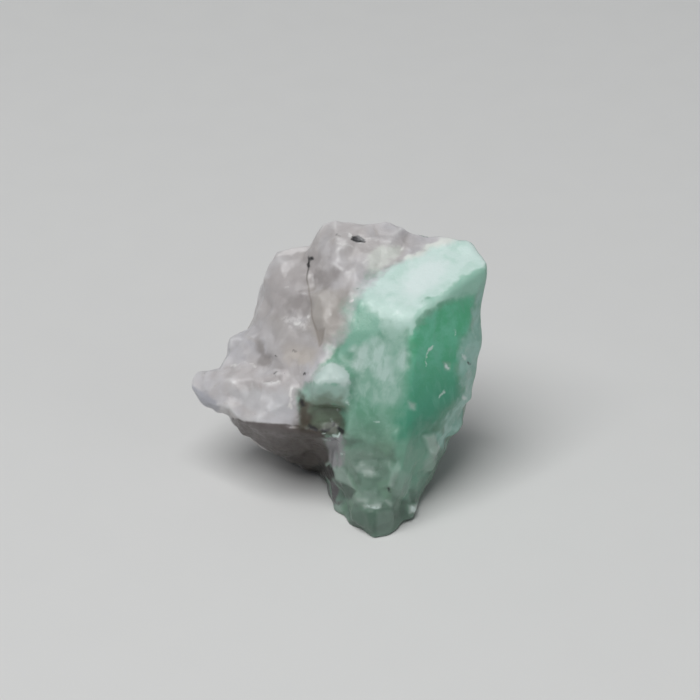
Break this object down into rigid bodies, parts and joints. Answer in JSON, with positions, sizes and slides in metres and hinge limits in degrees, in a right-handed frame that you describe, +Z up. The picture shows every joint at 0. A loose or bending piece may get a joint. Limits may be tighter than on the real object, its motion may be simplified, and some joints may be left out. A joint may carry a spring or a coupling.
{
  "type": "raw emerald crystal in quartz",
  "caption": "Raw broken emerald crystal grown into lumpy white quartz, standing on its flat broken base.",
  "frame": {"origin": "on the ground under the middle of the stone's bounding box", "axes": "+Z up; +X to the right and +Y to the back, seen from the side of the pointed lower tip"},
  "size_m": [0.02, 0.016, 0.0173],
  "materials": {
    "emerald": "cloudy translucent green, pale mint on its flat top, satin to glossy",
    "quartz": "milky white to pinkish grey, translucent, broken and lightly glossy"
  },
  "bodies": {
    "root": {"emerald_crystal": "emerald", "quartz_matrix": "quartz"}
  },
  "joints": []
}
